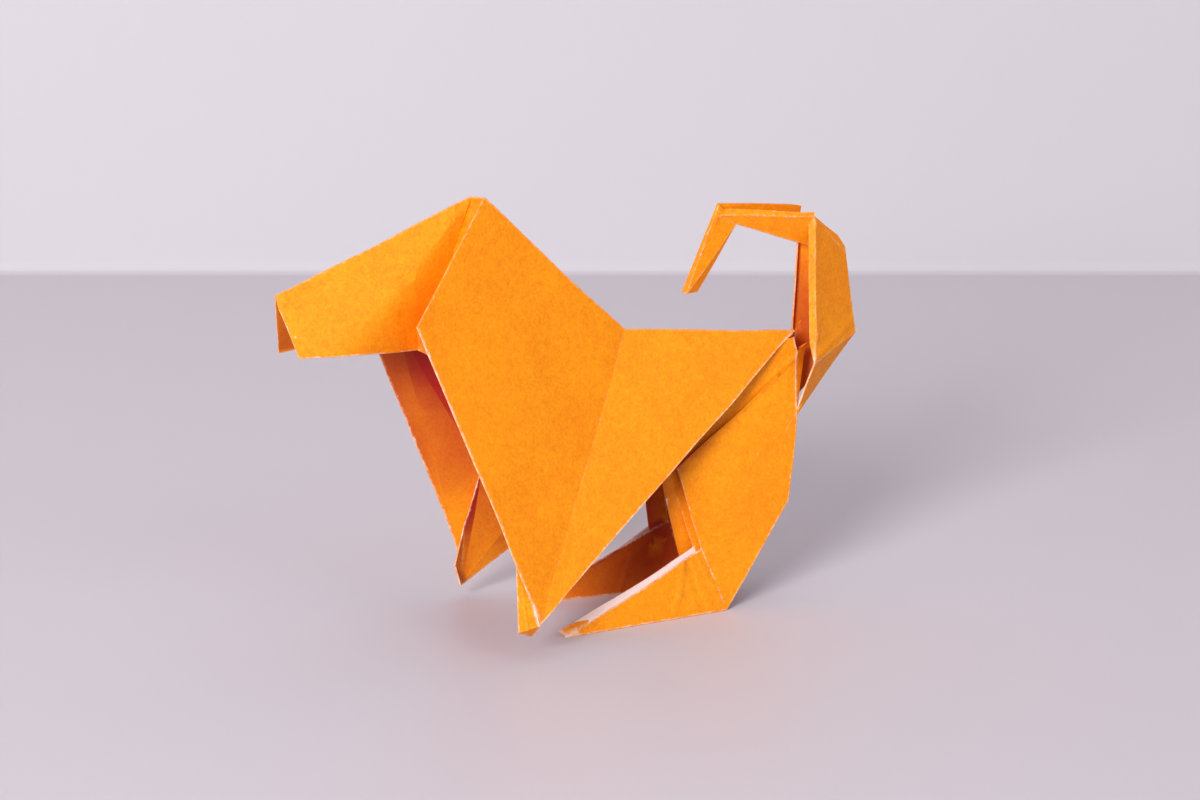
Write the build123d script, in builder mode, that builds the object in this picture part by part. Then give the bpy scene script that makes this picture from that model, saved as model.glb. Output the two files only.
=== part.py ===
from build123d import *
import os

# Origami dog folded from one square of orange craft paper: every panel below is the same sheet.
# It faces -X and stands on z = 0. Its symmetry plane is y = 0, and its near side is the -Y side.
# Sizes are millimetres. The origin is under the middle of its length.
# A panel corner is given by its place seen from the side, x and z, and lies in its panel's plane.
# The near and the far side were folded by hand and differ a little at the paws, muzzle and feet.

# Sheet
sheet = 0.25            # thickness of the paper
fold_swell = 0.012      # how far the round back of a fold stands out of the sheet
ground = sheet / 2 + 2 * fold_swell     # height of a crease whose round back rests on the table

# Ridge line: nose, crown, nape, withers and croup
nose_x, nose_z = -45.5, 52.6
crown_x, crown_z = -16.2, 64.3
nape_x, nape_z = -14.2, 63.9
withers_x, withers_z = 7.4, 42.8
croup_x, croup_z = 35.0, 40.3

# Head: two walls that hang from the ridge, open in front and below
snout_run, snout_half_width = 2.1, 4.6      # behind the nose
near_snout_drop, far_snout_drop = 8.2, 9.2  # below the nose
jaw_x, jaw_z = -31.0, 44.5
throat_x, throat_z = -25.0, 44.8

# Shoulder: a kite from the crown down to the front paw, blunted above the paw
near_shoulder_x, far_shoulder_x, shoulder_z = -27.5, -30.2, 48.2
paw_x, paw_half_spread = -12.6, 16.0
near_paw_z, far_paw_z = 5.4, 1.7
near_pastern_lead, near_pastern_rise = 0.6, 3.0     # ahead of the paw and above it
far_pastern_lead, far_pastern_rise = 1.1, 6.5

# Lining: the layer turned in behind the front edge of the kite
lining_top_x, lining_top_z = -13.0, 45.0
lining_low_x, lining_low_z = -8.5, 13.0
lining_lean = 1.0

# Front paw: a strip turned in behind the flank, and a flap that comes forward from it
strip_top_x, strip_top_z = 1.0, 25.0
strip_lean = 0.9
flap_top_x, flap_top_z = -11.8, 21.4
near_flap_middle_x, near_flap_middle_z = -14.8, 14.3
far_flap_middle_x, far_flap_middle_z = -13.6, 12.4
near_flap_corner_x, near_flap_corner_z = -15.8, 4.8
far_flap_corner_x, far_flap_corner_z = -14.2, 5.5
near_flap_toe_x, near_flap_toe_z = -13.3, 3.3
far_flap_toe_x, far_flap_toe_z = -13.6, 2.4
flap_lean, flap_toe_lean = 1.3, 2.6

# Hind leg: three layers that fan out in front
leg_drop = 1.0          # how far below the ridge the legs hang from the flank
heel_x, heel_half_spread = 21.3, 6.3
rump_x, rump_z = 32.4, 15.3
haunch_out, haunch_drop = 0.2, 3.3      # behind the croup and below it
saddle_width, saddle_drop = 1.8, 1.8    # the strip of the leg that shows under the tail
thigh_x, thigh_z = 14.4, 22.0
outer_shin_slope, middle_shin_slope = 0.312, 0.287      # run forward for each millimetre of drop
middle_shin_lean = 1.0
middle_top_x, middle_top_z = 13.3, 23.0
middle_back_inset = 1.0     # in front of the tail root
near_inner_shin_x, far_inner_shin_x, inner_shin_z = 15.2, 14.0, 7.6
near_inner_half_gap, far_inner_half_gap = 3.0, 4.6
inner_rump_inset = 0.8

# Foot: a channel of two walls on one keel
near_toe_x, far_toe_x, toe_half_spread = -5.4, -2.8, 8.2
near_foot_z, far_foot_z = 9.4, 11.6
near_rim_rise, far_rim_rise = 0.0, 1.0      # the outer wall above the middle one
outer_toe_run, outer_toe_z = 1.5, 0.7
inner_toe_lead, inner_toe_z = 1.2, 1.1

# Tail: a channel that stands up behind, turns forward, and ends in a thin tube that hangs down
tail_root_x, tail_root_z = 34.6, 28.0
tail_notch_out, tail_notch_rise = 0.2, 1.0      # from the root
tuck_depth, tuck_drop, tuck_length = 2.9, 2.4, 1.5      # how far it is pushed in from the notch
low_out, low_rise, tail_half_width = 2.1, 7.9, 4.0       # the widest corner, from the root
back_out, back_rise = 8.8, 3.1          # from the widest corner to the crease down the back
front_out, front_rise = 0.3, 2.9        # and to the foot of the open front
top_out, tail_height = 0.5, 22.0        # and to the top
elbow_out, elbow_drop = 6.1, 5.5        # from the top
bend_out, bend_drop = 4.7, 3.6
lip_reach, lip_inset = 0.7, 0.7         # the strip turned in along the open front
gusset_out, gusset_drop = 2.2, 2.4      # from the croup
beam_run, beam_rise = 15.2, 1.0         # from the top
near_rim, near_rim_inset = 0.9, 0.5     # the strip turned in along the open top of the beam
far_rim, far_rim_inset = 1.8, 0.2
rim_taper = 0.6                         # its width at the upright, as a share of its width in front
beam_depth, beam_bite = 1.6, 3.0        # of its keel under its end, and behind it
brow_half_width, brow_rise = 0.2, 1.55  # above the end of the beam
keel_back_drop = 1.2                    # below the elbow
tip_run, tip_drop = 5.0, 11.2           # from the end of the beam
tip_half_width, tip_depth = 0.8, 1.9

NEAR, FAR = -1, 1
layers, creases, points = [], set(), set()


def on_ridge(x, z):
    """A point of the symmetry plane."""
    return Vector(x, 0, z)


def in_panel(x, z, a, b, c):
    """The point with this x and z that lies in the plane of three others."""
    normal = (b - a).cross(c - a)
    return Vector(x, a.Y - (normal.X * (x - a.X) + normal.Z * (z - a.Z)) / normal.Y, z)


def on_line(z, start, end):
    """The point at this height on the line through two others."""
    return start + (end - start) * ((z - start.Z) / (end.Z - start.Z))


def inward(point, distance, side):
    """A point moved towards the symmetry plane."""
    return point - Vector(0, side * distance, 0)


def panel(*corners):
    """A flat panel of the sheet, centred on its corners' plane."""
    normal = (corners[1] - corners[0]).cross(corners[2] - corners[0])
    flat = Plane(origin=corners[0], x_dir=corners[1] - corners[0], z_dir=normal)
    with BuildSketch(flat) as outline:
        with BuildLine():
            Polyline([flat.to_local_coords(corner) for corner in corners], close=True)
        make_face()
    layers.append(extrude(outline.sketch, amount=sheet / 2, both=True, mode=Mode.PRIVATE))


def fold(*line):
    """Mark the folds along a line of points. Panels on both sides may mark the same fold."""
    points.update(tuple(point) for point in line)
    creases.update((tuple(start), tuple(end)) for start, end in zip(line, line[1:]))


def round_backs():
    """The round back of every marked fold, closed by one ball at each point where folds meet."""
    radius = sheet / 2 + fold_swell
    for start, end in sorted(creases):
        along = Vector(end) - Vector(start)
        with BuildSketch(Plane(origin=start, z_dir=along)) as section:
            Circle(radius)
        layers.append(extrude(section.sketch, amount=along.length, mode=Mode.PRIVATE))
    for point in sorted(points):
        layers.append(Pos(*point) * Sphere(radius + fold_swell, mode=Mode.PRIVATE))


def lip(start, end, reach, taper=1):
    """A narrow strip turned in along an open edge, and narrower at its end if it tapers."""
    panel(start, end, end + reach * taper, start + reach)
    fold(start, end)


nose, crown, nape = on_ridge(nose_x, nose_z), on_ridge(crown_x, crown_z), on_ridge(nape_x, nape_z)
withers, croup = on_ridge(withers_x, withers_z), on_ridge(croup_x, croup_z)


def head(side, snout_drop):
    """One wall of the head, back to the crease where it turns in behind the shoulder."""
    snout = nose + Vector(snout_run, side * snout_half_width, -snout_drop)
    jaw = in_panel(jaw_x, jaw_z, nose, crown, snout)
    throat = in_panel(throat_x, throat_z, nose, crown, snout)
    panel(nose, crown, throat, jaw, snout)
    fold(crown, throat)
    return throat


def shoulder_and_flank(side, throat, shoulder_x, pastern_lead, pastern_rise, paw_z):
    """The kite, the pleat that joins it to the head, its lining, and the flank behind it."""
    paw = Vector(paw_x, side * paw_half_spread, paw_z)
    kite = (nape, withers, paw)
    shoulder = in_panel(shoulder_x, shoulder_z, *kite)
    pastern = in_panel(paw_x - pastern_lead, paw_z + pastern_rise, *kite)
    panel(crown, nape, throat)
    panel(nape, shoulder, throat)
    panel(nape, withers, paw, pastern, shoulder)
    panel(withers, croup, paw)
    lining_top = inward(in_panel(lining_top_x, lining_top_z, *kite), lining_lean, side)
    lining_low = in_panel(lining_low_x, lining_low_z, shoulder, pastern, lining_top)
    panel(shoulder, pastern, lining_low, lining_top)
    fold(nape, shoulder, pastern, paw, croup)
    fold(withers, paw)
    return paw


def front_paw(side, paw, middle_x, middle_z, corner_x, corner_z, toe_x, toe_z):
    """The strip turned in behind the flank, and the flap that comes forward from it."""
    kite = (nape, withers, paw)
    strip_top = inward(in_panel(strip_top_x, strip_top_z, withers, croup, paw), strip_lean, side)
    top = inward(in_panel(flap_top_x, flap_top_z, *kite), flap_lean, side)
    middle = inward(in_panel(middle_x, middle_z, *kite), flap_lean, side)
    corner = inward(in_panel(corner_x, corner_z, *kite), flap_lean, side)
    toe = inward(in_panel(toe_x, toe_z, *kite), flap_toe_lean, side)
    panel(paw, croup, strip_top)
    panel(paw, strip_top, top)
    panel(paw, top, middle)
    panel(paw, middle, corner)
    panel(paw, corner, toe)
    fold(paw, strip_top)
    fold(paw, top)
    fold(paw, middle)
    fold(paw, corner)


def hind_leg(side, paw, inner_shin_x, inner_half_gap, toe_x, foot_z, rim_rise):
    """The leg's three layers, and the foot that its outer two turn into."""
    flank = (withers, croup, paw)
    hip = in_panel(withers_x, withers_z - leg_drop, *flank)
    seat = in_panel(croup_x, croup_z - leg_drop, *flank)
    heel = Vector(heel_x, side * heel_half_spread, ground)
    leg = (hip, seat, heel)
    haunch_x, haunch_z = croup_x + haunch_out, croup_z - haunch_drop
    haunch, rump = in_panel(haunch_x, haunch_z, *leg), in_panel(rump_x, rump_z, *leg)
    root = in_panel(tail_root_x, tail_root_z, *leg)
    saddle = in_panel(haunch_x - saddle_width, haunch_z - saddle_drop, *leg)
    neck = in_panel(croup_x - saddle_width, croup_z - leg_drop, *leg)
    thigh = in_panel(thigh_x, thigh_z, *leg)
    outer_drop, middle_drop = withers_z - foot_z - rim_rise, withers_z - foot_z
    outer_shin = in_panel(withers_x + outer_shin_slope * outer_drop, foot_z + rim_rise, *leg)
    panel(neck, seat, haunch, root, rump, heel, outer_shin, thigh, saddle)

    middle_shin = in_panel(withers_x + middle_shin_slope * middle_drop, foot_z, *leg)
    middle_shin = inward(middle_shin, middle_shin_lean, side)
    middle = (rump, heel, middle_shin)
    middle_top = in_panel(middle_top_x, middle_top_z, *middle)
    middle_back = in_panel(
        tail_root_x - middle_back_inset, tail_root_z - middle_back_inset, *middle
    )
    panel(rump, heel, middle_shin, middle_top, middle_back)

    inner_shin = Vector(inner_shin_x, side * inner_half_gap, inner_shin_z)
    inner_rump = in_panel(rump_x - inner_rump_inset, rump_z, hip, seat, inner_shin)
    panel(hip, seat, inner_rump, inner_shin)

    toe = Vector(toe_x, side * toe_half_spread, ground)
    outer_toe = in_panel(toe_x + outer_toe_run, outer_toe_z, toe, heel, outer_shin)
    inner_toe = in_panel(toe_x - inner_toe_lead, inner_toe_z, toe, heel, middle_shin)
    panel(toe, heel, outer_shin, outer_toe)
    panel(toe, heel, middle_shin, inner_toe)

    fold(seat, haunch, root, rump, heel, toe)
    fold(heel, outer_shin)
    fold(heel, middle_shin)
    return haunch, root, leg


def tail_upright(side, haunch, root, leg):
    """One wall of the standing channel, tucked in between the layers of the rump."""
    low = Vector(tail_root_x + low_out, side * tail_half_width, tail_root_z + low_rise)
    top_x, top_z = low.X + top_out, low.Z + tail_height
    back = on_ridge(low.X + back_out, low.Z + back_rise)
    elbow = on_ridge(top_x + elbow_out, top_z - elbow_drop)
    notch_x, notch_z = tail_root_x + tail_notch_out, tail_root_z + tail_notch_rise
    tuck_x, tuck_z = notch_x - tuck_depth, notch_z - tuck_drop
    tuck = inward(in_panel(tuck_x, tuck_z - tuck_length, *leg), sheet / 2, side)
    notch = in_panel(notch_x, notch_z, back, low, tuck)
    tuck_top = in_panel(tuck_x, tuck_z, back, low, tuck)
    panel(back, low, notch, tuck_top, tuck)
    panel(haunch, root, on_ridge(croup_x + gusset_out, croup_z - gusset_drop))

    wall = (back, elbow, low)
    bend = in_panel(top_x + bend_out, top_z - bend_drop, *wall)
    top = in_panel(top_x, top_z, *wall)
    front = in_panel(low.X + front_out, low.Z + front_rise, *wall)
    panel(back, elbow, bend, top, front, low)
    turn = inward(Vector(-lip_reach, 0, 0), lip_inset, side)
    panel(low, front, front + turn)
    lip(front, top, turn)
    fold(elbow, back, low, front)
    return top, on_line(elbow.Z - keel_back_drop, back, elbow)


def tail_beam(side, top, keel_back, rim, rim_inset):
    """One wall of the level channel that comes forward out of the upright one."""
    beam_x, beam_z = top.X - beam_run, top.Z + beam_rise
    keel = on_ridge(beam_x + beam_bite, beam_z - beam_depth)
    beam = in_panel(beam_x, beam_z, keel, keel_back, top)
    panel(keel, keel_back, top, beam)
    lip(beam, top, inward(Vector(0, 0, rim), rim_inset, side), rim_taper)
    fold(top, keel_back, keel, beam)
    return keel, beam, Vector(beam_x, side * brow_half_width, beam_z + brow_rise)


def tail_tip(side, keel, beam, brow):
    """One half of the tube that hangs from the beam, with a flat front."""
    brow_middle, tip_middle = on_ridge(brow.X, brow.Z), on_ridge(beam.X - tip_run, beam.Z - tip_drop)
    tip_front = tip_middle + Vector(0, side * tip_half_width, 0)
    tip_back = tip_middle + Vector(tip_depth, 0, 0)
    panel(keel, beam, brow)
    panel(keel, brow, tip_front)
    panel(keel, tip_front, tip_back)
    panel(brow, brow_middle, tip_middle, tip_front)
    fold(keel, brow, tip_front, keel, tip_back)


def near_side():
    throat = head(NEAR, near_snout_drop)
    paw = shoulder_and_flank(
        NEAR, throat, near_shoulder_x, near_pastern_lead, near_pastern_rise, near_paw_z
    )
    front_paw(
        NEAR, paw, near_flap_middle_x, near_flap_middle_z,
        near_flap_corner_x, near_flap_corner_z, near_flap_toe_x, near_flap_toe_z,
    )
    leg = hind_leg(
        NEAR, paw, near_inner_shin_x, near_inner_half_gap, near_toe_x, near_foot_z, near_rim_rise
    )
    beam = tail_beam(NEAR, *tail_upright(NEAR, *leg), near_rim, near_rim_inset)
    tail_tip(NEAR, *beam)


def far_side():
    throat = head(FAR, far_snout_drop)
    paw = shoulder_and_flank(
        FAR, throat, far_shoulder_x, far_pastern_lead, far_pastern_rise, far_paw_z
    )
    front_paw(
        FAR, paw, far_flap_middle_x, far_flap_middle_z,
        far_flap_corner_x, far_flap_corner_z, far_flap_toe_x, far_flap_toe_z,
    )
    leg = hind_leg(
        FAR, paw, far_inner_shin_x, far_inner_half_gap, far_toe_x, far_foot_z, far_rim_rise
    )
    beam = tail_beam(FAR, *tail_upright(FAR, *leg), far_rim, far_rim_inset)
    tail_tip(FAR, *beam)


near_side()
far_side()
fold(nose, crown, nape, withers, croup)
round_backs()

with BuildPart() as folded_sheet:
    add(layers)

os.makedirs("parts", exist_ok=True)
folded_sheet.part.label = "folded_sheet"
export_step(folded_sheet.part, "parts/folded_sheet.step")
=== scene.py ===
import math

import bpy
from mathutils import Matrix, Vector
from mathutils.bvhtree import BVHTree
from mathutils.geometry import closest_point_on_tri


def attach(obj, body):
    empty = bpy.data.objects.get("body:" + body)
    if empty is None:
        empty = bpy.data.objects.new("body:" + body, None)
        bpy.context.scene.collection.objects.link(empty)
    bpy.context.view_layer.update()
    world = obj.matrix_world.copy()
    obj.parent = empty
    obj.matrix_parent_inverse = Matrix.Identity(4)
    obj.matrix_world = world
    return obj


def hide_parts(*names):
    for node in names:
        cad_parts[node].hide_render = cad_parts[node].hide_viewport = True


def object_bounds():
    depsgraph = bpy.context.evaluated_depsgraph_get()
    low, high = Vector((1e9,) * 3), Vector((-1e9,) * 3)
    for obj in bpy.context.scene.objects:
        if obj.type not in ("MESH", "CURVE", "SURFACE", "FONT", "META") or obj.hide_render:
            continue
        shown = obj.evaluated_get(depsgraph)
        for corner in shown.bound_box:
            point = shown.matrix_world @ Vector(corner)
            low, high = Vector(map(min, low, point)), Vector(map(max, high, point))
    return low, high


bl_info = {
    "name": "Folded paper dog",
    "version": (1, 0, 0),
    "blender": (4, 5, 0),
    "location": "3D View > Sidebar > Paper dog",
    "description": "Dresses the folded sheet of a paper dog and sets it on a table",
    "category": "Object",
}

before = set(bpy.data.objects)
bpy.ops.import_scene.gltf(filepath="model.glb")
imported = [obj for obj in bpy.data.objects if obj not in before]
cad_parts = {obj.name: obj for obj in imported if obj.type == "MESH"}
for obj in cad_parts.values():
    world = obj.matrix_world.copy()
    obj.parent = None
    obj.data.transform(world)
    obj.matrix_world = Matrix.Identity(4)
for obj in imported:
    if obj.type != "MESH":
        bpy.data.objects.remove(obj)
CAD_BOX = [list(corner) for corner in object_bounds()]
MM = 0.001
SHEET = 0.25            # thickness of the paper, in millimetres as every place below
HEAD_FLOOR = 42         # the head lies above this height
FLAP_CEILING = 24       # the flaps of the front paws lie below this height
SAME_WAY = 0.9          # normals with a larger dot product than this face the same way
# The third colour is painted shade, put where other layers close the sheet in
COLOURS = ("Colour", "Deep colour", "Painted shade colour", "Worn colour")

# Corners on the symmetry plane
RIDGE = {
    "nose": (-45.5, 0, 52.6), "crown": (-16.2, 0, 64.3), "nape": (-14.2, 0, 63.9),
    "withers": (7.4, 0, 42.8), "croup": (35.0, 0, 40.3), "gusset": (37.2, 0, 37.9),
    "back": (45.5, 0, 39.0), "elbow": (43.3, 0, 52.4), "keel_back": (43.5, 0, 51.2),
    "keel": (25.0, 0, 57.3), "tip_back": (18.9, 0, 47.7),
}

# Corners of the near half of the sheet
NEAR = {
    "snout": (-43.4, -4.6, 44.4), "jaw": (-31.0, -7.07, 44.5), "throat": (-25.0, -8.14, 44.8),
    "shoulder": (-27.5, -8.06, 48.2), "pastern": (-13.2, -15.32, 8.4),
    "paw": (-12.6, -16.0, 5.4), "strip_top": (1.0, -6.6, 25.0),
    "flap_top": (-11.8, -9.98, 21.4), "flap_middle": (-14.8, -12.8, 14.3),
    "flap_corner": (-15.8, -15.75, 4.8), "flap_toe": (-13.3, -14.18, 3.3),
    "seat": (35.0, -0.41, 39.3), "haunch": (35.2, -0.74, 37.0), "root": (34.6, -2.06, 28.0),
    "rump": (32.4, -3.94, 15.3), "heel": (21.3, -6.3, 0.15), "thigh": (14.4, -3.2, 22.0),
    "outer_shin": (17.82, -5.0, 9.4), "middle_shin": (16.99, -4.01, 9.4),
    "middle_top": (13.3, -0.84, 23.0), "toe": (-5.4, -8.2, 0.15), "outer_toe": (-3.9, -8.0, 0.7),
    "inner_toe": (-6.6, -8.02, 1.1),
    "low": (36.7, -4.0, 35.9), "front": (37.0, -3.67, 38.8), "top": (37.2, -2.23, 57.9),
    "lip_foot": (36.3, -2.97, 38.8), "lip_top": (36.5, -1.53, 57.9),
    "notch": (34.8, -2.27, 29.0), "tuck": (31.9, -2.4, 25.1),
    "beam": (22.0, -0.29, 58.9), "rim_front": (22.0, 0.21, 59.8), "rim_back": (37.2, -1.93, 58.44),
    "brow": (22.0, -0.2, 60.45), "tip": (17.0, -0.8, 47.7),
}

# Corners of the far half, where its folds came out differently
FAR = {name: (x, -y, z) for name, (x, y, z) in NEAR.items()}
FAR.update({
    "snout": (-43.4, 4.6, 43.4), "jaw": (-31.0, 6.36, 44.5), "throat": (-25.0, 7.33, 44.8),
    "shoulder": (-30.2, 8.27, 48.2), "pastern": (-13.7, 14.57, 8.2), "paw": (-12.6, 16.0, 1.7),
    "strip_top": (1.0, 5.95, 25.0), "flap_top": (-11.8, 9.3, 21.4),
    "flap_middle": (-13.6, 12.13, 12.4), "flap_corner": (-14.2, 14.11, 5.5),
    "flap_toe": (-13.6, 13.47, 2.4), "outer_shin": (16.82, 4.53, 12.6),
    "middle_shin": (16.35, 3.69, 11.6), "toe": (-2.8, 8.2, 0.15), "outer_toe": (-1.3, 7.99, 0.7),
    "inner_toe": (-4.0, 8.05, 1.1), "rim_front": (22.0, 0.09, 60.7), "rim_back": (37.2, 2.11, 58.98),
})

# Folds and edges where the colour has rubbed off: ends, width in millimetres, strength
WORN = (
    ("nose", "crown", 0.26, 0.45), ("crown", "nape", 0.45, 0.60), ("nape", "withers", 0.26, 0.40),
    ("withers", "croup", 0.24, 0.40), ("elbow", "back", 0.26, 0.45),
    ("keel_back", "keel", 0.24, 0.40), ("keel", "tip_back", 0.22, 0.40),
    ("nose", "snout", 0.22, 0.50), ("snout", "jaw", 0.26, 0.80), ("jaw", "throat", 0.22, 0.55),
    ("nape", "shoulder", 0.22, 0.42), ("shoulder", "pastern", 0.28, 0.85),
    ("pastern", "paw", 0.50, 1.00), ("withers", "paw", 0.20, 0.22), ("paw", "croup", 0.30, 0.95),
    ("paw", "flap_corner", 0.20, 0.50), ("paw", "flap_middle", 0.22, 0.60),
    ("flap_middle", "flap_corner", 0.26, 0.90), ("flap_middle", "flap_top", 0.26, 0.95),
    ("flap_corner", "flap_toe", 0.28, 0.80), ("flap_toe", "paw", 0.28, 0.80),
    ("strip_top", "flap_top", 0.22, 0.60),
    ("seat", "haunch", 0.36, 0.85), ("haunch", "root", 0.34, 0.80), ("root", "rump", 0.24, 0.60),
    ("rump", "heel", 0.26, 0.60), ("heel", "outer_shin", 0.22, 0.70),
    ("outer_shin", "thigh", 0.22, 0.60), ("heel", "middle_shin", 0.20, 0.50),
    ("middle_shin", "middle_top", 0.18, 0.40), ("heel", "toe", 0.26, 0.75),
    ("outer_shin", "outer_toe", 0.28, 0.95), ("middle_shin", "inner_toe", 0.30, 0.90),
    ("outer_toe", "toe", 0.85, 1.00), ("toe", "inner_toe", 0.85, 1.00),
    ("back", "low", 0.24, 0.40), ("low", "front", 0.50, 1.00), ("front", "top", 0.22, 0.45),
    ("lip_foot", "lip_top", 0.20, 0.60), ("low", "notch", 0.30, 0.85), ("notch", "tuck", 0.22, 0.50),
    ("top", "keel_back", 0.22, 0.40), ("top", "beam", 0.22, 0.50), ("rim_front", "rim_back", 0.2, 0.6),
    ("brow", "tip", 0.20, 0.50), ("tip", "keel", 0.20, 0.40), ("tip", "tip_back", 0.24, 0.60),
    ("beam", "keel", 0.22, 0.50),
)

# Shallow creases that the folding left across flat panels: ends, width and height in millimetres
CREASED = (
    ((44.9, -0.1, 40.8), (36.7, -4.0, 36.4), 0.9, 0.08),
    ((14.6, -5.5, 8.0), (13.6, -6.3, 3.6), 1.0, 0.10), ((13.6, -6.3, 3.6), (12.3, -6.9, 0.5), 1.0, 0.08),
    ((15.1, -5.5, 7.8), (17.4, -6.5, 0.8), 1.0, -0.10),
    ((16.6, -5.1, 9.4), (20.8, -6.3, 0.6), 0.8, 0.08),
    ((-44.1, -0.1, 53.1), (-38.1, -0.6, 54.8), 0.9, 0.07),
    ((-38.1, -0.6, 54.8), (-35.6, -1.5, 53.6), 0.9, 0.06),
    ((11.1, 5.4, 6.8), (10.3, 6.4, 3.2), 0.9, 0.08), ((10.3, 6.4, 3.2), (9.8, 7.1, 0.6), 0.9, 0.07),
    ((-6.0, -11.0, 17.1), (-10.5, -14.3, 9.3), 1.1, 0.06),
    ((35.1, -0.8, 36.4), (31.8, -1.2, 34.2), 0.7, 0.12),
    ((31.8, -1.2, 34.2), (25.7, -1.9, 29.9), 0.8, 0.12),
    ((25.7, -1.9, 29.9), (23.1, -2.2, 28.3), 0.7, 0.08),
    ((-14.3, -14.0, 10.8), (-14.4, -14.9, 8.0), 0.4, 0.06),
    ((-14.4, -14.9, 8.0), (-14.3, -16.1, 4.5), 0.4, 0.08),
)

# Corners where the layers are crushed together, and how far the crushing reaches
CRUSHED = (
    ("croup", 3.0), ("gusset", 3.5), ("haunch", 3.0), ("beam", 2.6), ("nose", 3.2),
    ("crown", 2.4), ("paw", 2.2), ("toe", 1.6), ("front", 2.6), ("top", 2.0),
)


def place(name, half):
    """A named corner as a vector in millimetres."""
    return Vector(half[name] if name in half else RIDGE[name])


def only(piece):
    """Select one object alone and make it the active one."""
    bpy.ops.object.select_all(action="DESELECT")
    piece.hide_set(False)
    piece.select_set(True)
    bpy.context.view_layer.objects.active = piece


def edit(piece, mode="FACE"):
    """Open edit mode on one object with everything selected."""
    only(piece)
    bpy.ops.object.mode_set(mode="EDIT")
    bpy.ops.mesh.select_mode(type=mode)
    bpy.ops.mesh.select_all(action="SELECT")


def close_edit():
    """Back to object mode."""
    bpy.ops.object.mode_set(mode="OBJECT")


def node(tree, kind, x, y, **values):
    """Add a shader node at a place in the editor, with its settings and unlinked inputs."""
    made = tree.nodes.new(kind)
    made.location = (x, y)
    for name, value in values.items():
        if hasattr(made, name):
            setattr(made, name, value)
        else:
            made.inputs[name.replace("_", " ")].default_value = value
    return made


def math_node(tree, operation, x, y, first, second=None, third=None):
    """A Math node fed by sockets or plain numbers: its output socket."""
    made = node(tree, "ShaderNodeMath", x, y, operation=operation)
    for socket, value in zip(made.inputs, (first, second, third)):
        if value is None:
            continue
        if isinstance(value, (int, float)):
            socket.default_value = value
        else:
            tree.links.new(value, socket)
    return made.outputs["Value"]


def vector_node(tree, operation, x, y, first, second=None, scale=None):
    """A Vector Math node fed by sockets: the node, because its output depends on the operation."""
    made = node(tree, "ShaderNodeVectorMath", x, y, operation=operation)
    tree.links.new(first, made.inputs[0])
    if second is not None:
        tree.links.new(second, made.inputs[1])
    if scale is not None:
        tree.links.new(scale, made.inputs["Scale"])
    return made


def mix_colour(tree, x, y, amount, first, second):
    """Mix two colour sockets by an amount: the mixed colour's socket."""
    made = node(tree, "ShaderNodeMix", x, y, data_type="RGBA")
    for socket, value in ((made.inputs[0], amount), (made.inputs[6], first), (made.inputs[7], second)):
        tree.links.new(value, socket)
    return made.outputs[2]


def group(name, inputs, outputs):
    """A new shader node group with its sockets and its two end nodes."""
    tree = bpy.data.node_groups.new(name, "ShaderNodeTree")
    for socket, kind in inputs:
        tree.interface.new_socket(socket, in_out="INPUT", socket_type=kind)
    for socket, kind in outputs:
        tree.interface.new_socket(socket, in_out="OUTPUT", socket_type=kind)
    start = node(tree, "NodeGroupInput", -900, 0)
    end = node(tree, "NodeGroupOutput", 900, 0)
    return tree, start.outputs, end.inputs


def worn_line_group():
    """How near a point of the sheet lies to one fold: 1 on the fold, 0 beyond its width."""
    tree, given, out = group(
        "worn_line",
        (("Place", "NodeSocketVector"), ("Start", "NodeSocketVector"),
         ("End", "NodeSocketVector"), ("Width", "NodeSocketFloat"),
         ("Strength", "NodeSocketFloat")),
        (("Mask", "NodeSocketFloat"),),
    )
    along = vector_node(tree, "SUBTRACT", -700, 100, given["End"], given["Start"])
    across = vector_node(tree, "SUBTRACT", -700, -100, given["Place"], given["Start"])
    reach = vector_node(tree, "DOT_PRODUCT", -500, 0, across.outputs[0], along.outputs[0])
    length = vector_node(tree, "DOT_PRODUCT", -500, 200, along.outputs[0], along.outputs[0])
    share = math_node(
        tree, "DIVIDE", -300, 100, reach.outputs["Value"], length.outputs["Value"]
    )
    held = node(tree, "ShaderNodeClamp", -150, 100)
    tree.links.new(share, held.inputs["Value"])
    foot = vector_node(tree, "SCALE", 0, 100, along.outputs[0], scale=held.outputs[0])
    gap = vector_node(tree, "SUBTRACT", 150, 0, across.outputs[0], foot.outputs[0])
    distance = vector_node(tree, "LENGTH", 300, 0, gap.outputs[0])
    fade = node(tree, "ShaderNodeMapRange", 480, 0, interpolation_type="SMOOTHSTEP")
    tree.links.new(distance.outputs["Value"], fade.inputs["Value"])
    tree.links.new(given["Width"], fade.inputs["From Max"])
    tree.links.new(given["Strength"], fade.inputs["To Min"])
    fade.inputs["To Max"].default_value = 0
    tree.links.new(fade.outputs[0], out["Mask"])
    return tree


def line_mask(tree, worn_line, where, start, end, width, strength):
    """One line's mask, from a copy of the worn line group."""
    line = node(tree, "ShaderNodeGroup", -600, 0, node_tree=worn_line)
    line.inputs["Start"].default_value = start
    line.inputs["End"].default_value = end
    line.inputs["Width"].default_value = width
    line.inputs["Strength"].default_value = strength
    tree.links.new(where, line.inputs["Place"])
    return line.outputs["Mask"]


def crease_group(worn_line):
    """The height of the shallow creases, in millimetres."""
    tree, given, out = group(
        "shallow_creases",
        (("Place", "NodeSocketVector"),),
        (("Height", "NodeSocketFloat"),),
    )
    total = None
    for start, end, width, height in CREASED:
        mask = line_mask(tree, worn_line, given["Place"], start, end, width, height)
        total = mask if total is None else math_node(tree, "ADD", -300, 0, total, mask)
    tree.links.new(total, out["Height"])
    return tree


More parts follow.
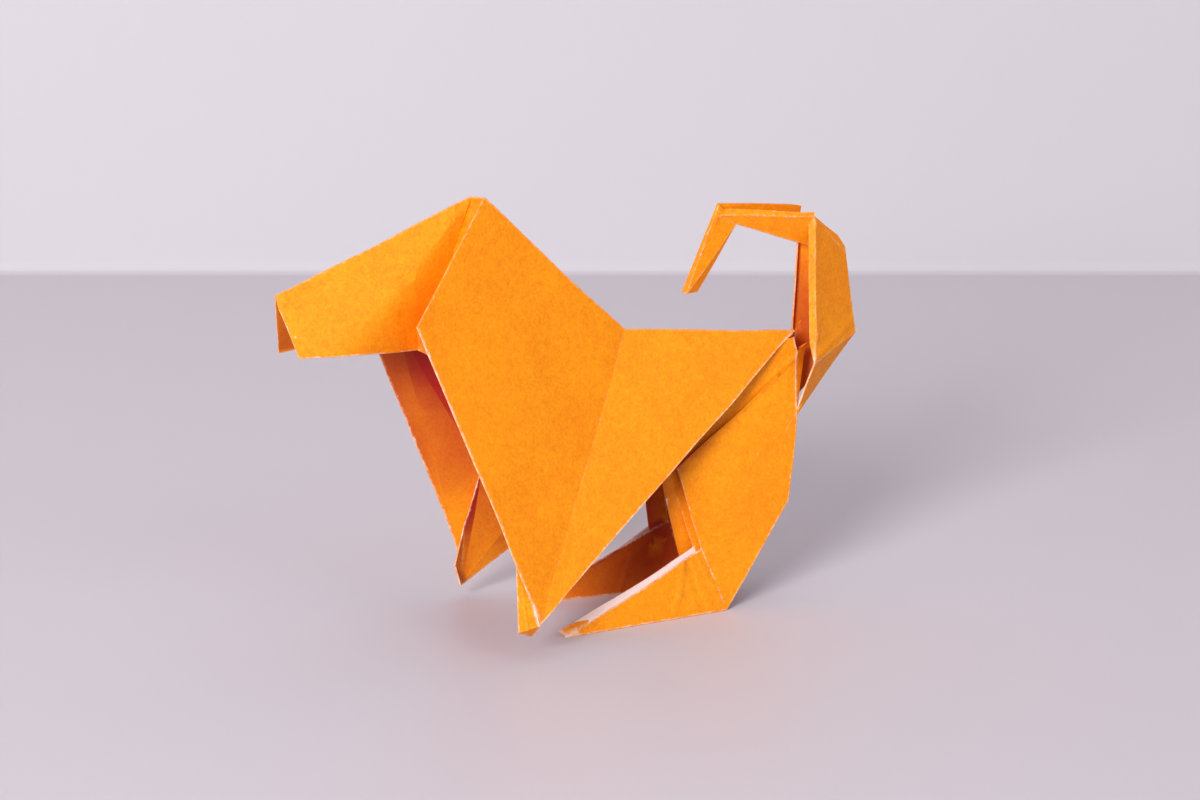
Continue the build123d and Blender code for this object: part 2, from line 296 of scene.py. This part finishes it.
def fold_wear_group(worn_line):
    """All the worn folds of the sheet in one mask, broken up by the paper's fibres."""
    tree, given, out = group(
        "fold_wear",
        (("Place", "NodeSocketVector"),),
        (("Mask", "NodeSocketFloat"),),
    )
    stray = 0.5             # millimetres by which a line wanders, half of it to each side
    ragged = node(tree, "ShaderNodeTexNoise", -900, -200, Scale=1.6, Detail=2.0, Roughness=0.6)
    tree.links.new(given["Place"], ragged.inputs["Vector"])
    strayed = node(tree, "ShaderNodeVectorMath", -750, -200, operation="MULTIPLY_ADD")
    tree.links.new(ragged.outputs["Color"], strayed.inputs[0])
    strayed.inputs[1].default_value = (stray, stray, stray)
    tree.links.new(given["Place"], strayed.inputs[2])
    centred = node(tree, "ShaderNodeVectorMath", -600, -200, operation="SUBTRACT")
    tree.links.new(strayed.outputs[0], centred.inputs[0])
    centred.inputs[1].default_value = (stray / 2, stray / 2, stray / 2)
    total = None
    for half in (NEAR, FAR):
        for start, end, width, strength in WORN:
            if half is FAR and start in RIDGE and end in RIDGE:
                continue
            mask = line_mask(
                tree, worn_line, centred.outputs[0], place(start, half), place(end, half),
                width, strength,
            )
            total = mask if total is None else math_node(tree, "MAXIMUM", -300, 0, total, mask)
    patches = node(tree, "ShaderNodeTexNoise", -600, -400, Scale=0.5, Detail=4.0, Roughness=0.75)
    tree.links.new(given["Place"], patches.inputs["Vector"])
    uneven = node(tree, "ShaderNodeMapRange", -300, -400)
    tree.links.new(patches.outputs["Fac"], uneven.inputs["Value"])
    uneven.inputs["From Min"].default_value = 0.38
    uneven.inputs["From Max"].default_value = 0.58
    uneven.inputs["To Min"].default_value = 0.22
    uneven.inputs["To Max"].default_value = 1.0
    rubbed = math_node(tree, "MULTIPLY", 0, 0, total, uneven.outputs[0])
    tree.links.new(rubbed, out["Mask"])
    return tree


def paper_grain_group():
    """Coarse fibres of craft paper: a tone that varies, pale specks, and a height."""
    tree, given, out = group(
        "paper_grain",
        (("Place", "NodeSocketVector"),),
        (("Tone", "NodeSocketFloat"), ("Specks", "NodeSocketFloat"), ("Height", "NodeSocketFloat")),
    )
    fibres = node(tree, "ShaderNodeTexNoise", -600, 300, Scale=2.4, Detail=3.0, Roughness=0.7)
    mottle = node(tree, "ShaderNodeTexNoise", -600, 100, Scale=0.75, Detail=3.0, Roughness=0.6)
    cloud = node(tree, "ShaderNodeTexNoise", -600, -100, Scale=0.09, Detail=2.0, Roughness=0.5)
    specks = node(tree, "ShaderNodeTexVoronoi", -600, -300, Scale=0.20)
    for texture in (fibres, mottle, cloud, specks):
        tree.links.new(given["Place"], texture.inputs["Vector"])
    fine = math_node(tree, "MULTIPLY", -350, 300, fibres.outputs["Fac"], 0.56)
    medium = math_node(tree, "MULTIPLY_ADD", -350, 200, mottle.outputs["Fac"], 0.24, fine)
    broad = math_node(tree, "MULTIPLY_ADD", -350, 100, cloud.outputs["Fac"], 0.20, medium)
    tree.links.new(broad, out["Tone"])
    dots = node(tree, "ShaderNodeMapRange", -350, -300)
    tree.links.new(specks.outputs["Distance"], dots.inputs["Value"])
    dots.inputs["From Min"].default_value = 0.015
    dots.inputs["From Max"].default_value = 0.035
    dots.inputs["To Min"].default_value = 0.7
    dots.inputs["To Max"].default_value = 0.0
    tree.links.new(dots.outputs[0], out["Specks"])
    height = math_node(tree, "MULTIPLY_ADD", -350, -100, mottle.outputs["Fac"], 0.8, fine)
    tree.links.new(height, out["Height"])
    return tree


def paper_colour_group():
    """Colour of craft paper: two tones of fibre, painted shade where other layers close it in, pale
    where rubbed.
    """
    tree, given, out = group(
        "paper_colour",
        tuple((name, "NodeSocketColor") for name in COLOURS)
        + tuple((name, "NodeSocketFloat") for name in ("Tone", "Painted shade", "Wear")),
        (("Colour", "NodeSocketColor"),),
    )
    tone = node(tree, "ShaderNodeMapRange", -850, 300)
    tree.links.new(given["Tone"], tone.inputs["Value"])
    tone.inputs["From Min"].default_value = 0.38
    tone.inputs["From Max"].default_value = 0.62
    fibre = mix_colour(tree, -650, 200, tone.outputs[0], given["Deep colour"], given["Colour"])
    # Painted shade: where other layers close the sheet in, the colour turns towards the painted shade
    # colour
    closed = node(tree, "ShaderNodeMapRange", -850, 0, interpolation_type="SMOOTHSTEP")
    tree.links.new(given["Painted shade"], closed.inputs["Value"])
    closed.inputs["From Min"].default_value = 0.06
    closed.inputs["From Max"].default_value = 0.45
    base = mix_colour(tree, -450, 200, closed.outputs[0], fibre, given["Painted shade colour"])
    rubbed = mix_colour(tree, -250, 100, given["Wear"], base, given["Worn colour"])
    tree.links.new(rubbed, out["Colour"])
    return tree


def paper_material(name, colours, groups):
    """Matte craft paper with its fibres, its shallow creases, its worn folds and painted shade between
    its layers.
    """
    material = bpy.data.materials.new(name)
    material.use_nodes = True
    tree = material.node_tree
    shader = tree.nodes["Principled BSDF"]
    shader.inputs["Roughness"].default_value = 0.52
    shader.inputs["Specular IOR Level"].default_value = 0.25
    where = node(tree, "ShaderNodeAttribute", -1400, 0, attribute_name="flat_place")
    grain = node(tree, "ShaderNodeGroup", -1100, 200, node_tree=groups["grain"])
    wear = node(tree, "ShaderNodeGroup", -1100, -200, node_tree=groups["wear"])
    creases = node(tree, "ShaderNodeGroup", -1100, -400, node_tree=groups["creases"])
    for user in (grain, wear, creases):
        tree.links.new(where.outputs["Vector"], user.inputs["Place"])
    # Painted shade, from how closed in each vertex is by other layers
    painted_shade = node(tree, "ShaderNodeAttribute", -1400, 300, attribute_name="painted_shade")
    pale = math_node(tree, "MAXIMUM", -850, -200, wear.outputs["Mask"], grain.outputs["Specks"])
    paper = node(tree, "ShaderNodeGroup", -500, 200, node_tree=groups["colour"])
    for socket, colour in zip(COLOURS, colours):
        paper.inputs[socket].default_value = tuple(colour)
    tree.links.new(grain.outputs["Tone"], paper.inputs["Tone"])
    tree.links.new(painted_shade.outputs["Fac"], paper.inputs["Painted shade"])
    tree.links.new(pale, paper.inputs["Wear"])
    tree.links.new(paper.outputs["Colour"], shader.inputs["Base Color"])
    ridges = node(tree, "ShaderNodeBump", -600, -500, Strength=1.0, Distance=0.001)
    tree.links.new(creases.outputs["Height"], ridges.inputs["Height"])
    bump = node(tree, "ShaderNodeBump", -350, -300, Strength=0.6, Distance=0.00012)
    tree.links.new(grain.outputs["Height"], bump.inputs["Height"])
    tree.links.new(ridges.outputs["Normal"], bump.inputs["Normal"])
    tree.links.new(bump.outputs["Normal"], shader.inputs["Normal"])
    return material


def cut_into_cells(piece, step):
    """Bisect the whole piece by planes a step apart, so that its flat panels can bend a little.

    The planes are shifted by a third of a step, which keeps them off the plane of symmetry.
    """
    low, high = (Vector(corner) for corner in CAD_BOX)
    for axis in range(3):
        direction = Vector((0, 0, 0))
        direction[axis] = 1
        for index in range(1, int((high[axis] - low[axis]) / step) + 1):
            bpy.ops.mesh.select_all(action="SELECT")
            bpy.ops.mesh.bisect(
                plane_co=low + direction * (index * step - step / 3), plane_no=direction
            )


def weigh(piece, name, weight_at):
    """Fill a new vertex group with weights that come from each vertex's place in millimetres."""
    weights = piece.vertex_groups.new(name=name)
    for vertex in piece.data.vertices:
        weight = weight_at(vertex.co / MM)
        if weight > 0:
            weights.add([vertex.index], weight, "REPLACE")


def rumple(piece, name, size, depth, weights):
    """Bend the sheet by a cloudy field. Both faces move together, so its thickness is kept.

    The weights are a vertex group's name, because applying a modifier makes the groups anew.
    """
    clouds = bpy.data.textures.new(name, "CLOUDS")
    clouds.noise_scale = size
    clouds.cloud_type = "COLOR"
    clouds.noise_depth = 1
    shift = piece.modifiers.new(name, "DISPLACE")
    shift.texture = clouds
    shift.texture_coords = "LOCAL"
    shift.direction = "RGB_TO_XYZ"
    shift.strength = depth
    shift.vertex_group = weights
    only(piece)
    bpy.ops.object.modifier_apply(modifier=shift.name)


def crushed_at(spot):
    """How strongly the layers are crushed at a place: 1 at a crushed corner, 0 away from it."""
    most = 0.0
    for name, reach in CRUSHED:
        for half in (NEAR, FAR):
            most = max(most, 1 - (spot - place(name, half)).length / reach)
    return most


def ahead(spot, low, high):
    """Whether a place lies forward of a line that climbs, seen from the near side."""
    return (high.x - low.x) * (spot.z - low.z) > (high.z - low.z) * (spot.x - low.x)


def head_depth(spot, crown):
    """How far in the head's curve lies at a place: a cone about lines that meet at the crown.

    The angles lie at the crown, between straight down and the place as seen from the side. The
    curve starts at the larger one and has its full slope at the smaller one and below.
    """
    start, full, slope = math.radians(50.5), math.radians(41.5), 0.76
    angle = math.atan2(crown.x - spot.x, crown.z - spot.z)
    if angle > full:
        share = max(start - angle, 0) ** 2 / (2 * (start - full))
    else:
        share = (start + full) / 2 - max(angle, 0)
    return slope * share * math.hypot(crown.x - spot.x, crown.z - spot.z)


def on_panel(spot, corners):
    """Whether a place lies on the flat panel with these corners, which is a fan of triangles."""
    tolerance = SHEET * 0.8
    return any(
        (spot - closest_point_on_tri(spot, corners[0], second, third)).length < tolerance
        for second, third in zip(corners[1:], corners[2:])
    )


def on_head(spot, half):
    """Which wall of the head's side a place lies on: the wall, the pleat behind it, or none."""
    corner = {
        name: place(name, half)
        for name in ("nose", "crown", "throat", "jaw", "snout", "nape", "shoulder", "withers")
    }
    kite = (corner["withers"] - corner["nape"]).cross(corner["shoulder"] - corner["nape"])
    on_kite = abs((spot - corner["nape"]).dot(kite.normalized())) < SHEET * 0.7
    if on_kite:
        return None
    for name, *panels in (
        ("wall", ("crown", "throat", "jaw", "snout", "nose")),
        ("pleat", ("crown", "nape", "throat"), ("nape", "shoulder", "throat")),
    ):
        if any(on_panel(spot, [corner[key] for key in keys]) for keys in panels):
            return name
    return None


def curve_head(piece, half):
    """Curve the head's wall in behind the shoulder, and take the pleat in with it."""
    crown, throat, nape, shoulder = (
        place(name, half) for name in ("crown", "throat", "nape", "shoulder")
    )
    side = math.copysign(1, throat.y)
    across_view = Vector((0, 1, 0))
    deepest = head_depth(throat, crown)
    drop = 0.24             # share of the depth by which the wall also comes down
    middle = 0.02           # what lies this near the plane of symmetry belongs to the ridge
    pleat_fold = (throat - nape).cross(across_view)
    for vertex in piece.data.vertices:
        spot = vertex.co / MM
        if spot.y * side < middle or spot.z < HEAD_FLOOR or spot.x > nape.x:
            continue
        part = on_head(spot, half)
        if part == "wall":
            depth = head_depth(spot, crown)
        elif part == "pleat":
            behind = (spot - nape).dot(pleat_fold) * (shoulder - nape).dot(pleat_fold) > 0
            across = ((shoulder if behind else crown) - nape).cross(across_view)
            share = (spot - nape).dot(across) / (throat - nape).dot(across)
            depth = deepest * min(1, max(0, share))
        else:
            continue
        vertex.co.y -= side * depth * MM
        vertex.co.z -= drop * depth * MM


def lay_tail_in(piece, half):
    """Lay the tail's lower end, which is tucked in at the rump, under the outer layer there."""
    seat, heel, shin, rump, root, notch = (
        place(name, half) for name in ("seat", "heel", "outer_shin", "rump", "root", "notch")
    )
    leg = (heel - seat).cross(shin - seat).normalized()
    if leg.y * seat.y < 0:
        leg = -leg
    rump_edge = Vector((root.z - rump.z, 0, rump.x - root.x)).normalized()
    reach, over_notch, rise, layer_face = 6, 0.6, 1.5, SHEET * 0.58
    for vertex in piece.data.vertices:
        spot = vertex.co / MM
        near = (spot - notch).length < reach and spot.z < notch.z + over_notch
        most = SHEET / 4 + rise * max(0, (spot - root).dot(rump_edge))
        out = (spot - seat).dot(leg)
        if near and out > max(most, layer_face):
            vertex.co -= leg * (out - most) * MM


def flap_painted_shade(spot):
    """How much painted shade the flaps of the front paws get, which were folded inside and lie in shade.
    """
    keys = ("flap_top", "flap_middle", "flap_corner", "flap_toe", "paw")
    for half, amount in ((NEAR, 0.06), (FAR, 0.14)):
        if spot.z < FLAP_CEILING and on_panel(spot, [place(key, half) for key in keys]):
            return amount
    return 0.0


def painted_shade_of(piece, reach, deep=14, rays=36, rounds=4):
    """Painted shade: how closed in each vertex is by other layers, as the share of the rays from it that
    hit one.

    A layer nearer than the deep gap, in millimetres, counts less, so that a narrow channel stays
    lighter than the deep belly. The shares are then smoothed along the sheet, and the first half
    of the rounds only raises them, which fills the spots where layers touch.
    """
    mesh = piece.data
    tree = BVHTree.FromPolygons(
        [vertex.co for vertex in mesh.vertices], [tuple(face.vertices) for face in mesh.polygons]
    )
    fan = []
    for index in range(rays):
        height = math.sqrt(1 - (index + 0.5) / rays)
        turn = index * math.pi * (3 - math.sqrt(5))
        flat = math.sqrt(1 - height * height)
        fan.append(Vector((flat * math.cos(turn), flat * math.sin(turn), height)))
    shares = []
    for vertex in mesh.vertices:
        turned = vertex.normal.to_track_quat("Z", "Y")
        start = vertex.co + vertex.normal * SHEET * MM
        gaps = (tree.ray_cast(start, turned @ ray, reach)[3] for ray in fan)
        share = sum(min(1, gap / (deep * MM)) for gap in gaps if gap is not None) / rays
        # The flaps of the front paws get extra painted shade
        shares.append(share + flap_painted_shade(vertex.co / MM))
    for step in range(rounds):
        sums, counts = list(shares), [1] * len(shares)
        for edge in mesh.edges:
            first, second = edge.vertices
            if mesh.vertices[first].normal.dot(mesh.vertices[second].normal) > SAME_WAY:
                sums[first] += shares[second]
                sums[second] += shares[first]
                counts[first] += 1
                counts[second] += 1
        smooth = [total / count for total, count in zip(sums, counts)]
        shares = smooth if step >= rounds // 2 else [max(pair) for pair in zip(shares, smooth)]
    return shares


def inside_foot(face, half):
    """Whether a face looks into the channel of one foot, where the sheet's pale back shows."""
    spot = face.center / MM
    slack = 0.06            # how far a face may lie off the side of its wall
    toe, heel, shin, middle_shin = (
        place(name, half) for name in ("toe", "heel", "outer_shin", "middle_shin")
    )
    outer = (heel - toe).cross(shin - toe).normalized()
    inner = (heel - toe).cross(middle_shin - toe).normalized()
    if outer.dot(middle_shin - toe) < 0:
        outer, inner = -outer, -inner
    past_outer, past_inner = (spot - toe).dot(outer), (spot - toe).dot(inner)
    if past_outer < SHEET / 2 - slack or past_inner > slack - SHEET / 2:
        return False
    on_outer = past_outer < SHEET / 2 + slack and face.normal.dot(outer) > SAME_WAY
    on_inner = past_inner > -SHEET / 2 - slack and face.normal.dot(inner) < -SAME_WAY
    return (on_outer and ahead(spot, heel, shin)) or (on_inner and ahead(spot, heel, middle_shin))


def from_target(azimuth, elevation):
    """Direction from the object to a lamp or camera. Azimuth 0 stands on the -Y side."""
    flat = math.cos(elevation)
    return Vector((math.sin(azimuth) * flat, -math.cos(azimuth) * flat, math.sin(elevation)))


class PaperSettings(bpy.types.PropertyGroup):
    """Colours of the paper, and how much the sheet is bent"""

    colour: bpy.props.FloatVectorProperty(
        name="Paper colour", description="Colour of the printed side of the sheet",
        subtype="COLOR", size=4, min=0, max=1, default=(1.0, 0.355, 0.004, 1),
    )
    deep_colour: bpy.props.FloatVectorProperty(
        name="Fibre colour", description="Darker colour between the fibres of the sheet",
        subtype="COLOR", size=4, min=0, max=1, default=(0.88, 0.225, 0.001, 1),
    )
    # Painted shade: the colour that stands in for the shade between the layers of the sheet
    painted_shade_colour: bpy.props.FloatVectorProperty(
        name="Painted shade colour", description="Colour of painted shade between the layers of the sheet",
        subtype="COLOR", size=4, min=0, max=1, default=(0.43, 0.012, 0.006, 1),
    )
    # Painted shade on the plain back, deep in the feet's folds
    painted_shade_back_colour: bpy.props.FloatVectorProperty(
        name="Painted shade back", description="Colour of the plain back deep in a fold",
        subtype="COLOR", size=4, min=0, max=1, default=(0.80, 0.52, 0.46, 1),
    )
    back_colour: bpy.props.FloatVectorProperty(
        name="Back colour", description="Colour of the plain back of the sheet",
        subtype="COLOR", size=4, min=0, max=1, default=(0.90, 0.72, 0.68, 1),
    )
    worn_colour: bpy.props.FloatVectorProperty(
        name="Worn colour", description="Colour of folds and edges where the print is rubbed off",
        subtype="COLOR", size=4, min=0, max=1, default=(0.95, 0.74, 0.60, 1),
    )
    cell: bpy.props.FloatProperty(
        name="Cell", description="Spacing of the cuts that let the panels bend",
        subtype="DISTANCE", unit="LENGTH", min=0.0015, max=0.01, default=0.003,
    )
    wave_size: bpy.props.FloatProperty(
        name="Wave length", description="Length of the slow waves in the sheet",
        subtype="DISTANCE", unit="LENGTH", min=0.005, max=0.05, default=0.016,
    )
    wave_depth: bpy.props.FloatProperty(
        name="Wave depth", description="How far the slow waves move the sheet",
        subtype="DISTANCE", unit="LENGTH", min=0, max=0.002, default=0.0007,
    )
    # How far the rays reach that find the painted shade
    painted_shade_reach: bpy.props.FloatProperty(
        name="Painted shade reach", description="How near another layer must be to add painted shade to the sheet",
        subtype="DISTANCE", unit="LENGTH", min=0.001, max=0.1, default=0.03,
    )
    crush_size: bpy.props.FloatProperty(
        name="Crush size", description="Size of the crumples at crushed corners",
        subtype="DISTANCE", unit="LENGTH", min=0.0005, max=0.01, default=0.0022,
    )
    crush_depth: bpy.props.FloatProperty(
        name="Crush depth", description="How far crushed corners are pushed out of place",
        subtype="DISTANCE", unit="LENGTH", min=0, max=0.002, default=0.0009,
    )


class StageSettings(bpy.types.PropertyGroup):
    """Colours of the stage, and where the camera stands"""

    table_colour: bpy.props.FloatVectorProperty(
        name="Table colour", description="Colour of the table top",
        subtype="COLOR", size=4, min=0, max=1, default=(0.60, 0.556, 0.602, 1),
    )
    wall_colour: bpy.props.FloatVectorProperty(
        name="Wall colour", description="Colour of the wall behind the table",
        subtype="COLOR", size=4, min=0, max=1, default=(0.626, 0.605, 0.649, 1),
    )
    wall_distance: bpy.props.FloatProperty(
        name="Wall distance", description="From the object to the wall, along the camera's view",
        subtype="DISTANCE", unit="LENGTH", min=0.1, max=1, default=0.2485,
    )
    azimuth: bpy.props.FloatProperty(
        name="Camera azimuth", description="Turn of the camera about the object, 0 looks along +Y",
        subtype="ANGLE", unit="ROTATION", default=math.radians(-23.34),
    )
    elevation: bpy.props.FloatProperty(
        name="Camera elevation", description="Height of the camera above the horizon",
        subtype="ANGLE", unit="ROTATION", default=math.radians(14.536),
    )
    distance: bpy.props.FloatProperty(
        name="Camera distance", description="From the camera to the point it looks at",
        subtype="DISTANCE", unit="LENGTH", min=0.1, max=3, default=0.540,
    )
    target: bpy.props.FloatVectorProperty(
        name="Camera target", description="Point the camera looks at, on the table",
        subtype="XYZ", unit="LENGTH", default=(0.053633, 0.11624, 0),
    )


class PAPERDOG_OT_fold_sheet(bpy.types.Operator):
    """Dress the folded sheet in worn orange craft paper, with painted shade between its layers"""

    bl_idname = "paperdog.fold_sheet"
    bl_label = "Folded sheet"

    def execute(self, context):
        settings = context.scene.paper_settings
        crisp = math.radians(14)    # folds sharper than this stay crisp
        sheet = self.copy_of_solid(context, settings.cell)
        self.cut_finer(sheet)
        flat = sheet.data.attributes.new("flat_place", "FLOAT_VECTOR", "POINT")
        for vertex in sheet.data.vertices:
            flat.data[vertex.index].vector = vertex.co / MM
        self.colour(sheet, settings)
        self.bend(sheet, settings)
        # Painted shade: the share of rays that hit other layers darkens the paper's colour there
        shares = painted_shade_of(sheet, settings.painted_shade_reach)
        painted_shade = sheet.data.attributes.new("painted_shade", "FLOAT", "POINT")
        painted_shade.data.foreach_set("value", shares)
        only(sheet)
        bpy.ops.object.shade_smooth_by_angle(angle=crisp)
        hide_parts("folded_sheet")
        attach(sheet, "root")
        return {"FINISHED"}

    def copy_of_solid(self, context, cell):
        """A merged copy of the solid, cut into cells."""
        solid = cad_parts["folded_sheet"]
        sheet = bpy.data.objects.new("paper_dog", solid.data.copy())
        context.scene.collection.objects.link(sheet)
        sheet.data.materials.clear()
        edit(sheet, "VERT")
        bpy.ops.mesh.customdata_custom_splitnormals_clear()
        bpy.ops.mesh.remove_doubles(threshold=0.000001)
        cut_into_cells(sheet, cell)
        close_edit()
        return sheet

    def cut_finer(self, sheet):
        """Finer cells at the crushed corners and where the head curves."""
        smallest = 1e-7         # square metres
        for face in sheet.data.polygons:
            spot = face.center / MM
            curved = spot.z > HEAD_FLOOR and any(
                on_head(spot, half) and head_depth(spot, place("crown", half)) > 0
                for half in (NEAR, FAR)
            )
            face.select = face.area > smallest and (crushed_at(spot) > 0 or curved)
        only(sheet)
        bpy.ops.object.mode_set(mode="EDIT")
        bpy.ops.mesh.subdivide(number_cuts=2)
        bpy.ops.mesh.select_all(action="SELECT")
        bpy.ops.mesh.quads_convert_to_tris()
        close_edit()

    def colour(self, sheet, settings):
        """Orange paper all over, and its pale back in the feet."""
        worn_line = worn_line_group()
        groups = {
            "wear": fold_wear_group(worn_line), "creases": crease_group(worn_line),
            "grain": paper_grain_group(), "colour": paper_colour_group(),
        }
        for name, *colours in (
            # The third colour of each material is its painted shade
            ("orange_paper", settings.colour, settings.deep_colour, settings.painted_shade_colour),
            ("paper_back", settings.back_colour, settings.back_colour, settings.painted_shade_back_colour),
        ):
            made = paper_material(name, (*colours, settings.worn_colour), groups)
            sheet.data.materials.append(made)
        for face in sheet.data.polygons:
            face.material_index = int(inside_foot(face, NEAR) or inside_foot(face, FAR))

    def bend(self, sheet, settings):
        """The head's curve, the tail's tuck, slow waves and crushed corners, all in the CAD box.

        The waves and the crushing grow with the height above the table, so the feet stay on it.
        """
        for half in (NEAR, FAR):
            curve_head(sheet, half)
            lay_tail_in(sheet, half)
        still, wave_rise, crush_rise = 0.3, 6, 2
        weigh(sheet, "off_table", lambda spot: min(1, max(0, (spot.z - still) / wave_rise)))
        weigh(sheet, "crushed", lambda spot: crushed_at(spot) * min(1, spot.z / crush_rise))
        rumple(sheet, "slow_waves", settings.wave_size, settings.wave_depth, "off_table")
        rumple(sheet, "crushing", settings.crush_size, settings.crush_depth, "crushed")
        for vertex in sheet.data.vertices:
            limits = zip(vertex.co, *CAD_BOX)
            vertex.co = [min(max(value, low), high) for value, low, high in limits]


class PAPERDOG_OT_stage(bpy.types.Operator):
    """Build the table, the wall behind it, the lights and the camera"""

    bl_idname = "paperdog.stage"
    bl_label = "Stage, lights and camera"

    def execute(self, context):
        settings = context.scene.stage_settings
        self.table_and_wall(settings)
        self.lights(context)
        self.camera(context, settings)
        context.scene.view_settings.view_transform = "Standard"
        return {"FINISHED"}

    def table_and_wall(self, settings):
        """A table top that turns up into a wall through a small cove, square to the camera."""
        width, depth, height, gap, cove, steps = 4.0, 1.5, 1.2, 0.006, 0.003, 4
        wall_from = 0.4 * cove      # height at which the wall's colour starts
        bpy.ops.object.select_all(action="DESELECT")
        bpy.ops.mesh.primitive_plane_add(size=1)
        table = bpy.context.object
        table.name = "table_and_wall"
        edit(table, "EDGE")
        bpy.ops.transform.resize(value=(width, depth, 1.0))
        bpy.ops.transform.translate(value=(0, settings.wall_distance - depth / 2 - gap, 0))
        bpy.ops.mesh.select_all(action="DESELECT")
        close_edit()
        for edge in table.data.edges:
            edge.select = all(
                table.data.vertices[i].co.y > settings.wall_distance - depth / 2
                for i in edge.vertices
            )
        bpy.ops.object.mode_set(mode="EDIT")
        bends = [math.pi / 2 * step / steps for step in range(steps + 1)]
        for low, high in zip(bends, bends[1:]):
            out, rise = math.sin(high) - math.sin(low), math.cos(low) - math.cos(high)
            bpy.ops.mesh.extrude_edges_move(
                TRANSFORM_OT_translate={"value": (0, cove * out, cove * rise)}
            )
        bpy.ops.mesh.extrude_edges_move(TRANSFORM_OT_translate={"value": (0, 0, height)})
        bpy.ops.mesh.select_all(action="SELECT")
        bpy.ops.transform.rotate(
            value=-settings.azimuth, orient_axis="Z", center_override=(0, 0, 0)
        )
        bpy.ops.mesh.normals_make_consistent(inside=False)
        close_edit()
        for name, colour, roughness in (
            ("pale_table", settings.table_colour, 0.42), ("pale_wall", settings.wall_colour, 0.9)
        ):
            material = bpy.data.materials.new(name)
            material.use_nodes = True
            shader = material.node_tree.nodes["Principled BSDF"]
            shader.inputs["Base Color"].default_value = tuple(colour)
            shader.inputs["Roughness"].default_value = roughness
            shader.inputs["Specular IOR Level"].default_value = 0.25
            table.data.materials.append(material)
        for face in table.data.polygons:
            face.material_index = int(face.center.z > wall_from)
            face.use_smooth = True

    def lights(self, context):
        """Three soft lamps round the table and a dim room. Angles in degrees, powers in watts."""
        aim = Vector((0, 0, 0.03))
        for name, azimuth, elevation, distance, size, power in (
            ("soft_lamp_left", -49, 21, 1.0, 0.40, 10.4),
            ("soft_lamp_right", 18, 32, 1.0, 0.45, 1.1),
            ("soft_box_above", -15, 76, 1.1, 1.20, 2.5),
        ):
            lamp = bpy.data.lights.new(name, "AREA")
            lamp.shape, lamp.size, lamp.energy = "DISK", size, power
            lamp.color = (1.0, 0.98, 0.98)
            stand = bpy.data.objects.new(name, lamp)
            back = from_target(math.radians(azimuth), math.radians(elevation))
            stand.location = aim + back * distance
            stand.rotation_mode = "QUATERNION"
            stand.rotation_quaternion = (-back).to_track_quat("-Z", "Y")
            context.scene.collection.objects.link(stand)
        world = bpy.data.worlds.new("room")
        world.use_nodes = True
        sky = world.node_tree.nodes["Background"]
        sky.inputs["Color"].default_value = (0.97, 0.95, 1.0, 1)
        sky.inputs["Strength"].default_value = 0.24
        context.scene.world = world

    def camera(self, context, settings):
        """The camera at the photograph's angle."""
        back = from_target(settings.azimuth, settings.elevation)
        data = bpy.data.cameras.new("camera")
        data.sensor_width, data.lens = 36, 84
        data.clip_start, data.clip_end = 0.01, 20
        camera = bpy.data.objects.new("camera", data)
        camera.location = Vector(settings.target) + back * settings.distance
        camera.rotation_mode = "QUATERNION"
        camera.rotation_quaternion = (-back).to_track_quat("-Z", "Y")
        context.scene.collection.objects.link(camera)
        context.scene.camera = camera


class PAPERDOG_PT_pieces(bpy.types.Panel):
    """The pieces of the paper dog and their settings"""

    bl_idname = "PAPERDOG_PT_pieces"
    bl_label = "Paper dog"
    bl_space_type = "VIEW_3D"
    bl_region_type = "UI"
    bl_category = "Paper dog"

    def draw(self, context):
        layout = self.layout
        for operator, settings in (
            (PAPERDOG_OT_fold_sheet, context.scene.paper_settings),
            (PAPERDOG_OT_stage, context.scene.stage_settings),
        ):
            layout.operator(operator.bl_idname)
            for name in settings.__annotations__:
                layout.prop(settings, name)


CLASSES = (
    PaperSettings, StageSettings, PAPERDOG_OT_fold_sheet, PAPERDOG_OT_stage, PAPERDOG_PT_pieces,
)


def register():
    """Make the pieces, their settings and the panel known to Blender."""
    for kind in CLASSES:
        bpy.utils.register_class(kind)
    bpy.types.Scene.paper_settings = bpy.props.PointerProperty(type=PaperSettings)
    bpy.types.Scene.stage_settings = bpy.props.PointerProperty(type=StageSettings)


def unregister():
    """Take back what register added."""
    del bpy.types.Scene.paper_settings
    del bpy.types.Scene.stage_settings
    for kind in reversed(CLASSES):
        bpy.utils.unregister_class(kind)


def main():
    """Build the stage and the paper dog."""
    register()
    bpy.ops.paperdog.stage()
    bpy.ops.paperdog.fold_sheet()


if __name__ == "__main__":
    main()
